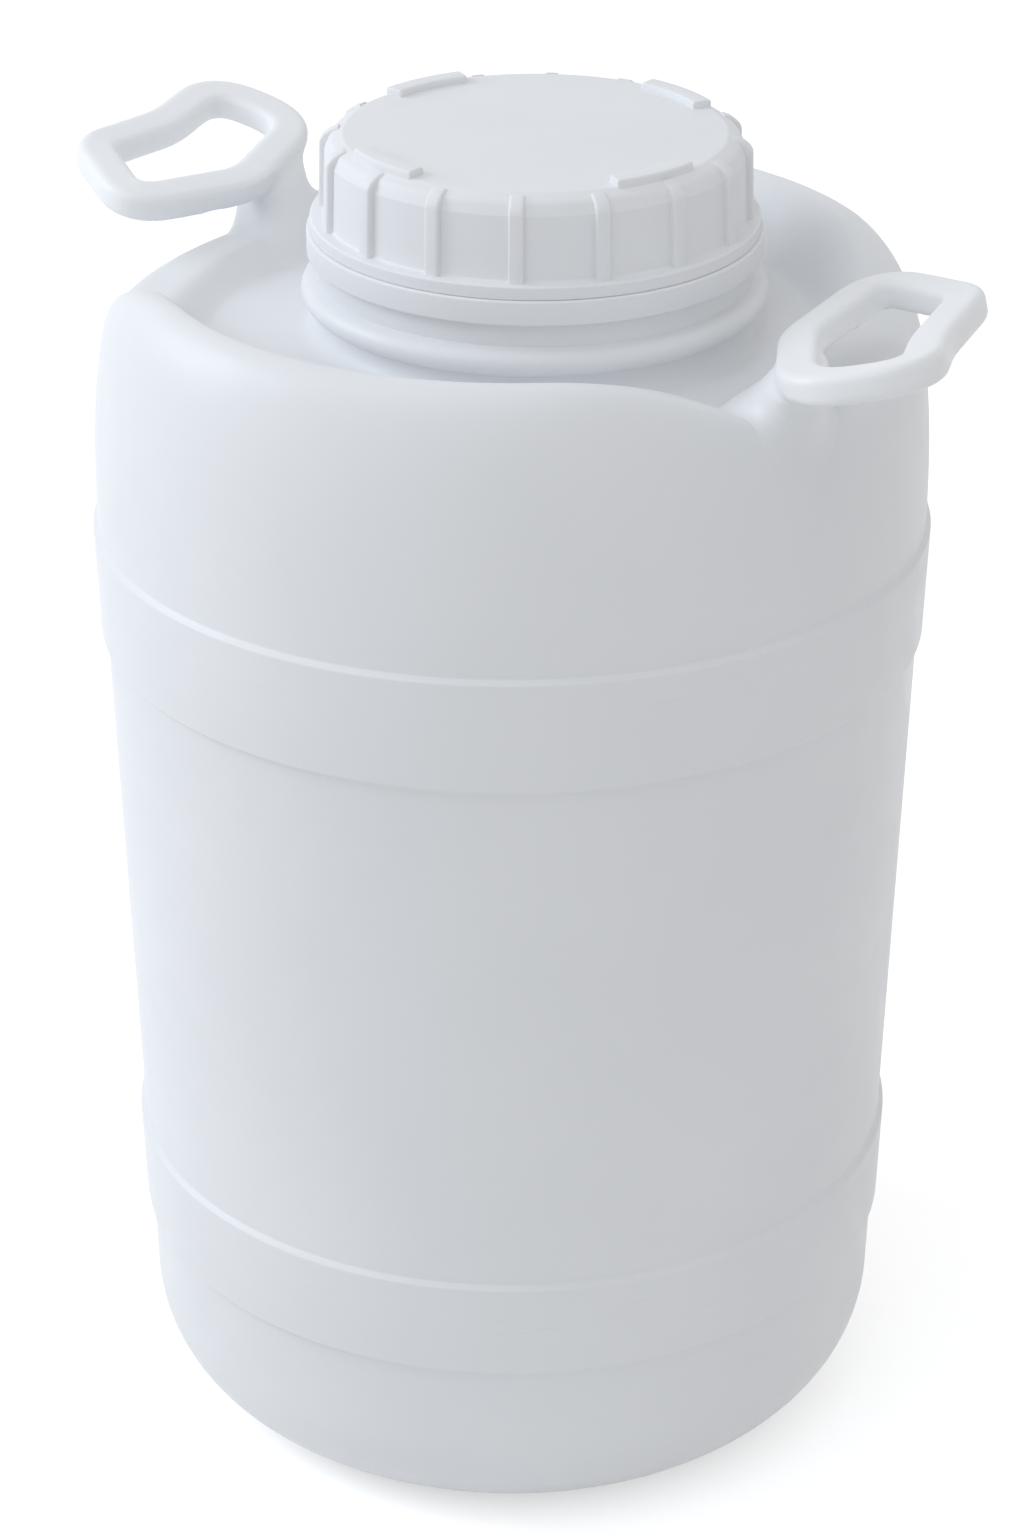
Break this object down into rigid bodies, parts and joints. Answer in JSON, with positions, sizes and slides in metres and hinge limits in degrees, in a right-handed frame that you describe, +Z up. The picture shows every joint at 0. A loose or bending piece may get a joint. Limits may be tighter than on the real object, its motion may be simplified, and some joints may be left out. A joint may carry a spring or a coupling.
{
  "type": "wide-neck plastic drum",
  "caption": "White plastic drum with hooped wall, rounded base, notched shoulder ring, loop handles, and a ribbed screw cap with gasket and tamper ring on an offset neck.",
  "frame": {"origin": "middle of the flat base, on the floor", "axes": "+Z up along the drum, +X towards the handle that is front right in the picture"},
  "size_m": [0.5142, 0.4004, 0.6636],
  "materials": {
    "white_shell": "satin blow-moulded polyethylene",
    "white_handle": "satin moulded polyethylene",
    "white_ring": "satin moulded polyethylene",
    "white_cap": "satin moulded polyethylene",
    "grey_gasket": "soft foam rubber"
  },
  "bodies": {
    "drum": {"drum_body": "white_shell", "right_handle": "white_handle", "left_handle": "white_handle", "tamper_ring": "white_ring"},
    "gasket": {"cap_gasket": "grey_gasket"},
    "cap": {"screw_cap": "white_cap"}
  },
  "joints": [
    {"name": "cap_lift", "type": "slide", "parent": "drum", "child": "gasket", "axis": [0, 0, 1], "range_m": [0, 0.12]},
    {"name": "cap_turn", "type": "hinge", "parent": "gasket", "child": "cap", "pos_m": [0.0083, 0.0069, 0.64], "axis": [0, 0, 1], "range_deg": [0, 450]}
  ]
}
